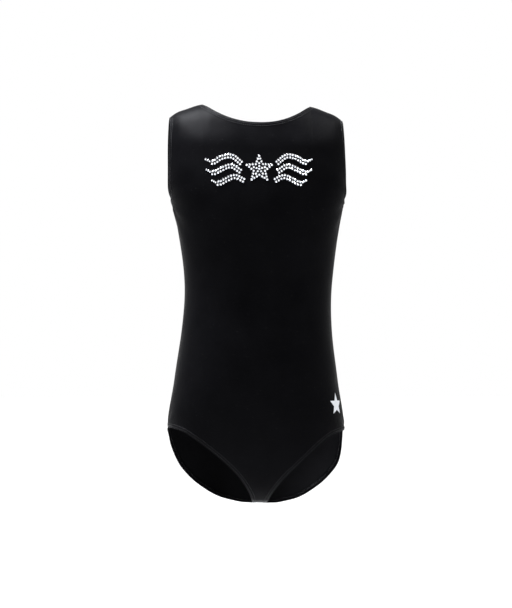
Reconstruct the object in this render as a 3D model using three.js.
// A child's sleeveless tank leotard for gymnastics, held in the shape of the body that fills it.
//
// Millimetres, +Z up. The front faces -Y and the wearer's left is +X. The origin lies midway between
// the highest points of the two shoulder seams, where the garment is carried.
//
// Two panels of stretch cloth wrap one smooth body form. Every other piece is placed from that form:
// the linings and elastics inside it, the stitches and crystals outside it.

import * as THREE from 'three';

// ---- Driving dimensions ------------------------------------------------------------------------

const NECK_HALF = 72;            // from the centre to where the neckline meets the shoulder seam
const SHOULDER_SLOPE = 0.38;     // how fast the shoulder seam falls towards the arm
const FRONT_NECK_DROP = 23.6;    // depth of the front neckline below the shoulder points
const BACK_NECK_DROP = 62;       // depth of the back scoop
const NECK_CURVE = 2.2;          // 2 is a parabola, more is a flatter-bottomed scoop
const UNDERARM_Z = -131;         // lowest point of the armhole, top of the side seam
const HIP_Z = -431;              // bottom of the side seam, top of the leg opening
const CROTCH_Z = -529.8;         // crotch seam
const CROTCH_HALF = 12;          // half the length of the crotch seam
const SQUARENESS = 2.3;          // exponent of the torso's oval section, 2 is an ellipse
const ARMHOLE_EASE = 0.043;      // share of the half width that the armhole takes off the wrap
const ARMHOLE_ROUND = 60;        // height over which the armhole opens to its full width
const ROLL_CENTRE = 70;          // height over which the cloth rolls over the shoulder, by the neck
const ROLL_TIP = 35;             // the same at the arm end of the shoulder seam

const CLOTH = 0.8;               // panel thickness
const SEAM_GAP = 0.6;            // space between the two panels along every seam
const LINING = [1.1, 1.5];       // depths of the lining's two faces below the outer face
const ELASTIC = [2.7, 3.3];      // depths of the elastic's two faces
const ELASTIC_WIDTH = 5;
const ELASTIC_INSET = 0.8;       // from the finished edge to the elastic
const GUSSET = [4.2, 4.6];       // depths of the crotch lining's two faces
const STITCH_INSET = 3.2;        // from the finished edge to the hem stitch
const THREAD_RADIUS = 0.3;
const THREAD_LIFT = 1.4;         // hem stitch centre above the cloth
const SEAM_DEPTH = 1.5;          // seam thread centre below the outer face

// Half width of the form at each height, and its reach forwards and backwards from the side seams.
const HALF_WIDTH = [
  [-530, 117], [-424, 117], [-368, 109], [-300, 100], [-240, 98], [-160, 108.5], [-115, 117],
  [-80, 117.5], [0, 115],
];
const FRONT_REACH = [
  [-530, 2], [-526, 14], [-505, 42], [-480, 63], [-440, 78], [-390, 84], [-330, 81], [-240, 74],
  [-140, 82], [-60, 64], [-30, 53], [0, 46],
];
const BACK_REACH = [
  [-530, 3], [-527, 16], [-505, 50], [-480, 74], [-440, 94], [-390, 100], [-330, 88], [-240, 64],
  [-140, 78], [-60, 70], [-30, 59], [0, 46],
];

const TIP_HALF = HALF_WIDTH.at(-1)[1];     // where the shoulder seam ends at the arm

// Height of each leg edge by distance from the centre line, from the crotch seam to the side seam.
const FRONT_LEG = [
  [CROTCH_HALF, CROTCH_Z], [20, -514], [33, -494], [51, -474], [71, -456], [95, -438], [111, -432],
  [117, HIP_Z],
];
const BACK_LEG = [
  [CROTCH_HALF, CROTCH_Z], [28, -527], [56, -519], [82, -503], [98, -487], [108, -472], [114, -452],
  [117, HIP_Z],
];

const FRONT = -1;
const BACK = 1;
const RIGHT = -1;
const LEFT = 1;

// ---- The body form -----------------------------------------------------------------------------

// A smooth curve through [position, value] points, listed with the position rising.
function profile(points) {
  const last = points.length - 1;
  const slope = (k) => {
    const before = points[Math.max(0, k - 1)];
    const after = points[Math.min(last, k + 1)];
    return (after[1] - before[1]) / (after[0] - before[0]);
  };
  return (position) => {
    const at = THREE.MathUtils.clamp(position, points[0][0], points[last][0]);
    let k = 0;
    while (k < last - 1 && at > points[k + 1][0]) k += 1;
    const span = points[k + 1][0] - points[k][0];
    const t = (at - points[k][0]) / span;
    const bend = t * t * (3 - 2 * t);
    const rise = slope(k) * t * (1 - t) * (1 - t) - slope(k + 1) * t * t * (1 - t);
    return points[k][1] * (1 - bend) + points[k + 1][1] * bend + rise * span;
  };
}

const halfWidth = profile(HALF_WIDTH);
const reach = { [FRONT]: profile(FRONT_REACH), [BACK]: profile(BACK_REACH) };
const legEdge = { [FRONT]: profile(FRONT_LEG), [BACK]: profile(BACK_LEG) };
const neckDrop = { [FRONT]: FRONT_NECK_DROP, [BACK]: BACK_NECK_DROP };

function shoulderLine(x) {
  return SHOULDER_SLOPE * (NECK_HALF - Math.abs(x));
}

// How far the section at this height is wrapped by the cloth: all the way to the side seam below the
// underarm, and a little less beside the armhole.
function wrap(z) {
  const open = THREE.MathUtils.clamp((z - UNDERARM_Z) / ARMHOLE_ROUND, 0, 1);
  return 1 - ARMHOLE_EASE * Math.sin((open * Math.PI) / 2);
}

// Height over which the cloth turns from the shoulder line into the upright chest or back.
function rollHeight(x) {
  return THREE.MathUtils.lerp(ROLL_CENTRE, ROLL_TIP, Math.min(1, (x / TIP_HALF) ** 2));
}

// The outer face. across runs from -1 at the wearer's right edge to 1 at the left edge.
function formPoint(side, across, z) {
  const x = across * halfWidth(z);
  const oval = (1 - Math.abs(across * wrap(z)) ** SQUARENESS) ** (1 / SQUARENESS);
  const fall = THREE.MathUtils.clamp((shoulderLine(x) - z) / rollHeight(x), 0, 1);
  const roll = Math.sqrt(fall * (2 - fall));
  return new THREE.Vector3(x, side * (SEAM_GAP / 2 + reach[side](z) * oval * roll), z);
}

// The outward direction of the outer face. Over the shoulder a step down is a small turn of the roll,
// because there the face lies nearly flat.
const TURN = 0.05;
const STEP = 0.5;
const ASIDE = 0.01;
function formNormal(side, across, z) {
  const x = across * halfWidth(z);
  const height = rollHeight(x);
  const fall = (shoulderLine(x) - z) / height;
  const rolled = (turn) => {
    const z = shoulderLine(x) - height * (1 - Math.cos(turn));
    const over = formPoint(turn < 0 ? -side : side, across, z);
    over.y -= Math.sign(over.y) * (SEAM_GAP / 2);
    return over;
  };
  const turn = Math.acos(THREE.MathUtils.clamp(1 - fall, 0, 1));
  const down = fall < 1
    ? rolled(turn + TURN).sub(rolled(turn - TURN))
    : formPoint(side, across, z - STEP).sub(formPoint(side, across, z + STEP));
  const aside = (offset) => {
    const place = THREE.MathUtils.clamp(across + offset, -1, 1);
    const shift = shoulderLine(place * halfWidth(z)) - shoulderLine(x);
    return formPoint(side, place, fall < 1 ? z + shift : z);
  };
  return down.cross(aside(ASIDE).sub(aside(-ASIDE))).multiplyScalar(-side).normalize();
}

function topEdge(side, x) {
  if (Math.abs(x) >= NECK_HALF) return shoulderLine(x);
  return -neckDrop[side] * (1 - (Math.abs(x) / NECK_HALF) ** NECK_CURVE);
}

function bottomEdge(side, x) {
  return Math.abs(x) <= CROTCH_HALF ? CROTCH_Z : legEdge[side](Math.abs(x));
}

// ---- Closed bodies -----------------------------------------------------------------------------

// A geometry from points and triangles, turned so that its faces point outwards.
function closedBody(points, triangles) {
  const [a, b, c] = [new THREE.Vector3(), new THREE.Vector3(), new THREE.Vector3()];
  let volume = 0;
  for (const [i, j, k] of triangles) {
    volume += a.copy(points[i]).dot(b.copy(points[j]).cross(c.copy(points[k])));
  }
  const facing = volume > 0 ? triangles : triangles.map(([i, j, k]) => [i, k, j]);
  const geometry = new THREE.BufferGeometry().setFromPoints(points);
  geometry.setIndex(facing.flat());
  geometry.computeVertexNormals();
  return geometry;
}

function quad(a, b, c, d) {
  return [[a, b, c], [a, c, d]];
}

// The body between two grids of points that face each other, closed round their border.
function slab(outer, inner) {
  const rows = outer.length;
  const columns = outer[0].length;
  const index = (layer, r, c) => (layer * rows + r) * columns + c;
  const triangles = [];
  for (let r = 0; r < rows - 1; r += 1) {
    for (let c = 0; c < columns - 1; c += 1) {
      const [here, across, beyond, below] = [[r, c], [r, c + 1], [r + 1, c + 1], [r + 1, c]];
      triangles.push(...quad(...[here, across, beyond, below].map((at) => index(0, ...at))));
      triangles.push(...quad(...[here, below, beyond, across].map((at) => index(1, ...at))));
    }
  }
  const border = [];
  for (let c = 0; c < columns; c += 1) border.push([0, c]);
  for (let r = 1; r < rows; r += 1) border.push([r, columns - 1]);
  for (let c = columns - 2; c >= 0; c -= 1) border.push([rows - 1, c]);
  for (let r = rows - 2; r > 0; r -= 1) border.push([r, 0]);
  border.forEach(([r, c], i) => {
    const next = border[(i + 1) % border.length];
    triangles.push(...quad(index(0, ...next), index(0, r, c), index(1, r, c), index(1, ...next)));
  });
  return closedBody([...outer.flat(), ...inner.flat()], triangles);
}

// The body that joins sections of equal corner count in turn: a ring, or a strip with two ends.
function sweep(sections, ring) {
  const corners = sections[0].length;
  const steps = ring ? sections.length : sections.length - 1;
  const index = (s, c) => (s % sections.length) * corners + (c % corners);
  const triangles = [];
  for (let s = 0; s < steps; s += 1) {
    for (let c = 0; c < corners; c += 1) {
      triangles.push(...quad(index(s, c), index(s, c + 1), index(s + 1, c + 1), index(s + 1, c)));
    }
  }
  if (!ring) {
    for (let c = 1; c < corners - 1; c += 1) {
      triangles.push([index(0, 0), index(0, c + 1), index(0, c)]);
      triangles.push([index(steps, 0), index(steps, c), index(steps, c + 1)]);
    }
  }
  return closedBody(sections.flat(), triangles);
}

// A strip between two distances along `along` and two depths below the surface.
function bandSection({ point, normal, along }, [near, far], [shallow, deep]) {
  const corner = (distance, depth) =>
    point.clone().addScaledVector(along, distance).addScaledVector(normal, -depth);
  return [corner(near, shallow), corner(far, shallow), corner(far, deep), corner(near, deep)];
}

// A square thread, standing on its edge, centred at a distance along `along` and a depth.
function threadSection({ point, normal, along }, distance, depth) {
  const centre = point.clone().addScaledVector(along, distance).addScaledVector(normal, -depth);
  return [[1, 0], [0, 1], [-1, 0], [0, -1]].map(([a, n]) =>
    centre.clone().addScaledVector(along, a * THREAD_RADIUS).addScaledVector(normal, n * THREAD_RADIUS));
}

// ---- Panels ------------------------------------------------------------------------------------

// Columns stand closer where the form turns towards the side seam. Two of them are the places where
// the crotch seam and the neckline end.
const HIP_HALF = 117;
const CROTCH_COLUMN = CROTCH_HALF / HIP_HALF;
const NECK_COLUMN = NECK_HALF / TIP_HALF;
const HALF_COLUMNS = [
  0, CROTCH_COLUMN, 0.113, 0.135, 0.17, 0.22, 0.31, 0.42, 0.52, 0.58, 0.612, NECK_COLUMN, 0.74, 0.84,
  0.91, 0.96, 0.988, 1,
];
const COLUMNS = [...HALF_COLUMNS.slice(1).reverse().map((q) => -q), ...HALF_COLUMNS];
const ARMHOLE_ROWS = 8;
const BODY_ROWS = 15;
const BODY_CROWDING = 1.6;       // 1 spaces the body's rows evenly, more draws them to the crotch

// Rows as shares of the way from the top edge to the bottom edge: close together where the cloth
// rolls over the shoulder, round the underarm and where it turns under at the crotch.
function rowShares() {
  const tip = shoulderLine(TIP_HALF);
  const underarm = (tip - UNDERARM_Z) / (tip - HIP_Z);
  const shares = [];
  for (let i = 0; i < ARMHOLE_ROWS; i += 1) {
    shares.push(underarm * THREE.MathUtils.smoothstep(i, 0, ARMHOLE_ROWS));
  }
  for (let i = 0; i <= BODY_ROWS; i += 1) {
    const t = i / BODY_ROWS;
    shares.push(underarm + (1 - underarm) * (1 - (1 - t) ** BODY_CROWDING));
  }
  return shares;
}

const SHARES = rowShares();
const LAST_ROW = SHARES.length - 1;
const MIDDLE = HALF_COLUMNS.length - 1;
const NECK_END = HALF_COLUMNS.indexOf(NECK_COLUMN);

// Rows of values over a panel: take is called with the place of each grid point on the form.
function panelGrid(side, take) {
  return SHARES.map((share) => COLUMNS.map((across) => {
    const top = topEdge(side, across * halfWidth(0));
    const bottom = bottomEdge(side, across * HIP_HALF);
    return take(side, across, THREE.MathUtils.lerp(top, bottom, share));
  }));
}

// The same grid pushed inwards, never past the plane of the seams.
function sunk(grid, normals, side, depth) {
  return grid.map((row, r) => row.map((point, c) => {
    const moved = point.clone().addScaledVector(normals[r][c], -depth);
    moved.y = side * Math.max(side * moved.y, SEAM_GAP / 3);
    return moved;
  }));
}

const GRID = { [FRONT]: panelGrid(FRONT, formPoint), [BACK]: panelGrid(BACK, formPoint) };
const NORMALS = { [FRONT]: panelGrid(FRONT, formNormal), [BACK]: panelGrid(BACK, formNormal) };

// One layer of cloth over a stretch of the panel's grid, so that layers lie parallel and never touch.
function layer(side, [firstRow, lastRow], halfColumns, [shallow, deep]) {
  const cut = (grid) => grid.slice(firstRow, lastRow + 1)
    .map((row) => row.slice(MIDDLE - halfColumns, MIDDLE + halfColumns + 1));
  const grid = cut(GRID[side]);
  const normals = cut(NORMALS[side]);
  return slab(sunk(grid, normals, side, shallow), sunk(grid, normals, side, deep));
}

// The lining stops short of the hems. The crotch lining fills the narrow part between the legs.
const WHOLE_ROWS = [0, LAST_ROW];
const LINING_ROWS = [2, LAST_ROW - 6];
const LINING_HALF_COLUMNS = MIDDLE - 2;
const GUSSET_ROWS = [LAST_ROW - 5, LAST_ROW - 1];
const GUSSET_HALF_COLUMNS = 1;

// ---- Edges of the openings ---------------------------------------------------------------------

// One closed loop of edge points from a stretch of the front panel and one of the back panel that
// meet at both ends, with the outward direction of the cloth and the way into the cloth.
function edgeLoop(frontCells, backCells) {
  const take = (side, [r, c]) => ({ point: GRID[side][r][c], normal: NORMALS[side][r][c] });
  const front = frontCells.map((cell) => take(FRONT, cell));
  const back = backCells.map((cell) => take(BACK, cell));
  const meet = (a, b) => ({
    point: a.point.clone().lerp(b.point, 0.5),
    normal: a.normal.clone().add(b.normal).normalize(),
  });
  const loop = [
    meet(front[0], back.at(-1)), ...front.slice(1, -1), meet(front.at(-1), back[0]), ...back.slice(1, -1),
  ];
  const centre = new THREE.Vector3();
  loop.forEach(({ point }) => centre.addScaledVector(point, 1 / loop.length));
  return loop.map(({ point, normal }, i) => {
    const ahead = loop[(i + 1) % loop.length].point;
    const behind = loop.at(i - 1).point;
    const along = ahead.clone().sub(behind).cross(normal).normalize();
    if (along.dot(point.clone().sub(centre)) < 0) along.negate();
    return { point, normal, along };
  });
}

// Cells along a row or column of the grid, both ends included.
function cellsAcross(row, from, to) {
  const step = Math.sign(to - from);
  return Array.from({ length: Math.abs(to - from) + 1 }, (_, i) => [row, from + i * step]);
}

function cellsDown(column, from, to) {
  return cellsAcross(column, from, to).map(([c, r]) => [r, c]);
}

function neckLoop() {
  const across = cellsAcross(0, MIDDLE - NECK_END, MIDDLE + NECK_END);
  return edgeLoop(across, [...across].reverse());
}

function armholeLoop(hand) {
  const column = MIDDLE + hand * MIDDLE;
  const down = cellsDown(column, 0, ARMHOLE_ROWS);
  return edgeLoop(down, [...down].reverse());
}

function legLoop(hand) {
  const across = cellsAcross(LAST_ROW, MIDDLE + hand, MIDDLE + hand * MIDDLE);
  return edgeLoop(across, [...across].reverse());
}

function elasticRing(loop) {
  const width = [ELASTIC_INSET, ELASTIC_INSET + ELASTIC_WIDTH];
  return sweep(loop.map((station) => bandSection(station, width, ELASTIC)), true);
}

function stitchRing(loop) {
  return sweep(loop.map((station) => threadSection(station, STITCH_INSET, -THREAD_LIFT)), true);
}

// ---- Seams -------------------------------------------------------------------------------------

// Edge points shared by the two panels along a seam, with the outward direction between them.
function seamStations(cells) {
  return cells.map(([r, c]) => ({
    point: GRID[FRONT][r][c].clone().lerp(GRID[BACK][r][c], 0.5),
    normal: NORMALS[FRONT][r][c].clone().add(NORMALS[BACK][r][c]).normalize(),
    along: new THREE.Vector3(0, 1, 0),
  }));
}

// Moves the first station along the seam, so that the seam starts inside the hem.
function startingAt(distance, stations) {
  const ahead = stations[1].point.clone().sub(stations[0].point).normalize();
  stations[0].point.addScaledVector(ahead, distance);
  return stations;
}

const NECK_CLEARANCE = 1.5;
const HEM_CLEARANCE = 8;
const CROTCH_SEAM_SHARE = 0.8;
const shoulderStations = (hand, lastColumn) =>
  seamStations(cellsAcross(0, MIDDLE + hand * NECK_END, MIDDLE + hand * lastColumn));
const shoulderSeam = (hand) => startingAt(NECK_CLEARANCE, shoulderStations(hand, MIDDLE - 1));
const sideSeam = (hand) =>
  startingAt(HEM_CLEARANCE, seamStations(cellsDown(MIDDLE + hand * MIDDLE, ARMHOLE_ROWS, LAST_ROW - 2)));
const crotchSeam = () => seamStations(cellsAcross(LAST_ROW, MIDDLE - 1, MIDDLE + 1)).map((station) => {
  station.point.x *= CROTCH_SEAM_SHARE;
  station.normal.set(0, 0, -1);
  return station;
});

function seamThread(stations) {
  return sweep(stations.map((station) => threadSection(station, 0, SEAM_DEPTH)), false);
}

// A narrow tape that keeps the shoulder seam from stretching, under the elastics' level.
const STAY_TAPE_HALF = 2.5;
const STAY_TAPE = [3.4, 3.9];
function stayTape(hand) {
  const stations = startingAt(HEM_CLEARANCE, shoulderStations(hand, MIDDLE - 3));
  return sweep(stations.map((s) => bandSection(s, [-STAY_TAPE_HALF, STAY_TAPE_HALF], STAY_TAPE)), false);
}

// ---- Crystals and emblem -----------------------------------------------------------------------

// A place on the front given by its distance from the centre line and its height.
function frontPlace(x, z) {
  const at = (px, pz) => formPoint(FRONT, px / halfWidth(pz), pz);
  const point = at(x, z);
  const right = at(x + 1, z).sub(at(x - 1, z));
  const up = at(x, z + 1).sub(at(x, z - 1));
  return { point, normal: right.cross(up).normalize() };
}

const ROW_PITCH = 3.9;                     // from one crystal to the next
const STREAMER_FACES = [-1.7, -0.5];       // depths: the strip stands on the cloth
// Half the streamers, on the wearer's left: middle-line points as [x, z], and rows of crystals.
const STREAMERS = {
  upper: [[24, -80], [36, -71], [50, -73], [60, -79], [70, -75]],
  middle: [[25, -91], [37, -84], [49, -88], [60, -93], [69, -89]],
  lower: [[21, -103], [32, -98], [43, -102], [53, -107], [62, -103]],
};
const STREAMER_STEPS = 10;
const STREAMER_TAPER = 0.5;                // share of its width that a streamer loses at its tip

function streamer(points, hand) {
  const curve = new THREE.CatmullRomCurve3(points.map(([x, z]) => new THREE.Vector3(hand * x, 0, z)));
  const sections = [];
  for (let i = 0; i <= STREAMER_STEPS; i += 1) {
    const t = i / STREAMER_STEPS;
    const { x, z } = curve.getPointAt(t);
    const { point, normal } = frontPlace(x, z);
    const along = curve.getTangentAt(t).cross(normal).normalize();
    const half = ROW_PITCH * (1 - STREAMER_TAPER * t ** 2);
    sections.push(bandSection({ point, normal, along }, [-half, half], STREAMER_FACES));
  }
  return sweep(sections, false);
}

// The corners of a five-pointed star with one point up.
const STAR_NOTCH = 0.45;
function starOutline(radius) {
  return Array.from({ length: 10 }, (_, i) => {
    const r = i % 2 === 0 ? radius : radius * STAR_NOTCH;
    const angle = Math.PI / 2 + (i * Math.PI) / 5;
    return [r * Math.cos(angle), r * Math.sin(angle)];
  });
}

// A thin plate that follows the cloth. place turns a flat [across, up] into a point and a direction.
function plate(outline, place, [low, high]) {
  const flat = [[0, 0], ...outline.map(([a, b]) => [a / 2, b / 2]), ...outline];
  const count = outline.length;
  const points = [];
  for (const lift of [low, high]) {
    for (const [a, b] of flat) {
      const { point, normal } = place(a, b);
      points.push(point.addScaledVector(normal, lift));
    }
  }
  const triangles = [];
  for (let i = 0; i < count; i += 1) {
    const [a, b] = [1 + i, 1 + ((i + 1) % count)];
    const [outA, outB] = [a + count, b + count];
    const top = flat.length;
    triangles.push([top, top + a, top + b], ...quad(top + a, top + outA, top + outB, top + b));
    triangles.push([0, b, a], ...quad(b, outB, outA, a));
    triangles.push(...quad(outB, top + outB, top + outA, outA));
  }
  return closedBody(points, triangles);
}

const STAR_CENTRE_Z = -88;
const STAR_RADIUS = 19;
const STAR_FACES = [0.6, 1.8];
function crystalStar() {
  return plate(starOutline(STAR_RADIUS), (a, b) => frontPlace(a, STAR_CENTRE_Z + b), STAR_FACES);
}

const EMBLEM_Z = -398;
const EMBLEM_ACROSS = 0.91;
const EMBLEM_RADIUS = 15;
const EMBLEM_FACES = [0.6, 1.1];
const WALK_STEPS = 12;
const WALK_PROBE = 0.002;
// Walks round the hip from the emblem's centre, so that the star keeps its shape on the curve.
function hipPlace(distance, up) {
  const z = EMBLEM_Z + up;
  let across = EMBLEM_ACROSS;
  for (let i = 0; i < WALK_STEPS; i += 1) {
    const behind = formPoint(FRONT, across - WALK_PROBE, z);
    const ahead = formPoint(FRONT, across + WALK_PROBE, z);
    across += ((distance / WALK_STEPS) * 2 * WALK_PROBE) / ahead.distanceTo(behind);
  }
  return frontPlace(across * halfWidth(z), z);
}

// ---- Labels ------------------------------------------------------------------------------------

// Each label is a tab that turns on its sewn edge. The size label hangs from the back neck hem, and
// the care label lies against the inside of the back, on the left side seam at the waist.
const SIZE_LABEL = { width: 26, length: 20, thickness: 0.4, hingeY: 65.5, hingeZ: -71 };
const CARE_LABEL = { height: 30, length: 38, thickness: 0.4, hingeX: 94.8, z: -240, turn: 17 };
const HINGE_CLEARANCE = 0.5;
const SIZE_STITCH = { length: 24, thickness: 0.5, height: 0.8, behindHinge: 0.9 };

function sizeLabel() {
  const { width, length, thickness, hingeY, hingeZ } = SIZE_LABEL;
  const geometry = new THREE.BoxGeometry(width, thickness, length);
  geometry.translate(0, hingeY, hingeZ - HINGE_CLEARANCE - length / 2);
  return geometry;
}

function sizeLabelStitch() {
  const { length, thickness, height, behindHinge } = SIZE_STITCH;
  const geometry = new THREE.BoxGeometry(length, thickness, height);
  geometry.translate(0, SIZE_LABEL.hingeY + behindHinge, SIZE_LABEL.hingeZ);
  return geometry;
}

function careLabel() {
  const { height, length, thickness, hingeX, z, turn } = CARE_LABEL;
  const geometry = new THREE.BoxGeometry(thickness, length, height);
  geometry.translate(0, HINGE_CLEARANCE + length / 2, 0);
  geometry.rotateZ(THREE.MathUtils.degToRad(turn));
  geometry.translate(hingeX, 0, z);
  return geometry;
}

// ---- Materials and assembly --------------------------------------------------------------------

const FINISH = {
  cloth: { color: 0x141416, roughness: 0.55, metalness: 0 },
  lining: { color: 0x1b1b1d, roughness: 0.8, metalness: 0 },
  elastic: { color: 0x202022, roughness: 0.7, metalness: 0 },
  thread: { color: 0x1d1d20, roughness: 0.6, metalness: 0 },
  tape: { color: 0xc8ccd0, roughness: 0.35, metalness: 0 },
  crystal: { color: 0xe9edf2, roughness: 0.08, metalness: 0.2 },
  emblem: { color: 0xc9ccd2, roughness: 0.3, metalness: 0.6 },
  label: { color: 0xe6e4de, roughness: 0.6, metalness: 0 },
};

const leotard = new THREE.Group();

function add(name, finish, geometry) {
  const mesh = new THREE.Mesh(geometry, new THREE.MeshStandardMaterial(FINISH[finish]));
  mesh.name = name;
  leotard.add(mesh);
}

add('front_panel', 'cloth', layer(FRONT, WHOLE_ROWS, MIDDLE, [0, CLOTH]));
add('back_panel', 'cloth', layer(BACK, WHOLE_ROWS, MIDDLE, [0, CLOTH]));
add('front_lining', 'lining', layer(FRONT, LINING_ROWS, LINING_HALF_COLUMNS, LINING));
add('crotch_lining', 'lining', layer(FRONT, GUSSET_ROWS, GUSSET_HALF_COLUMNS, GUSSET));

add('neck_elastic', 'elastic', elasticRing(neckLoop()));
add('neck_hem_stitch', 'thread', stitchRing(neckLoop()));
add('crotch_seam_thread', 'thread', seamThread(crotchSeam()));

for (const [hand, word] of [[RIGHT, 'right'], [LEFT, 'left']]) {
  add(`armhole_elastic_${word}`, 'elastic', elasticRing(armholeLoop(hand)));
  add(`armhole_hem_stitch_${word}`, 'thread', stitchRing(armholeLoop(hand)));
  add(`leg_elastic_${word}`, 'elastic', elasticRing(legLoop(hand)));
  add(`leg_hem_stitch_${word}`, 'thread', stitchRing(legLoop(hand)));
  add(`shoulder_seam_thread_${word}`, 'thread', seamThread(shoulderSeam(hand)));
  add(`shoulder_stay_tape_${word}`, 'tape', stayTape(hand));
  add(`side_seam_thread_${word}`, 'thread', seamThread(sideSeam(hand)));
  for (const [place, points] of Object.entries(STREAMERS)) {
    add(`crystal_streamer_${place}_${word}`, 'crystal', streamer(points, hand));
  }
}

add('crystal_star', 'crystal', crystalStar());
add('hip_emblem', 'emblem', plate(starOutline(EMBLEM_RADIUS), hipPlace, EMBLEM_FACES));
add('size_label', 'label', sizeLabel());
add('size_label_stitch', 'thread', sizeLabelStitch());
add('care_label', 'label', careLabel());

export default leotard;
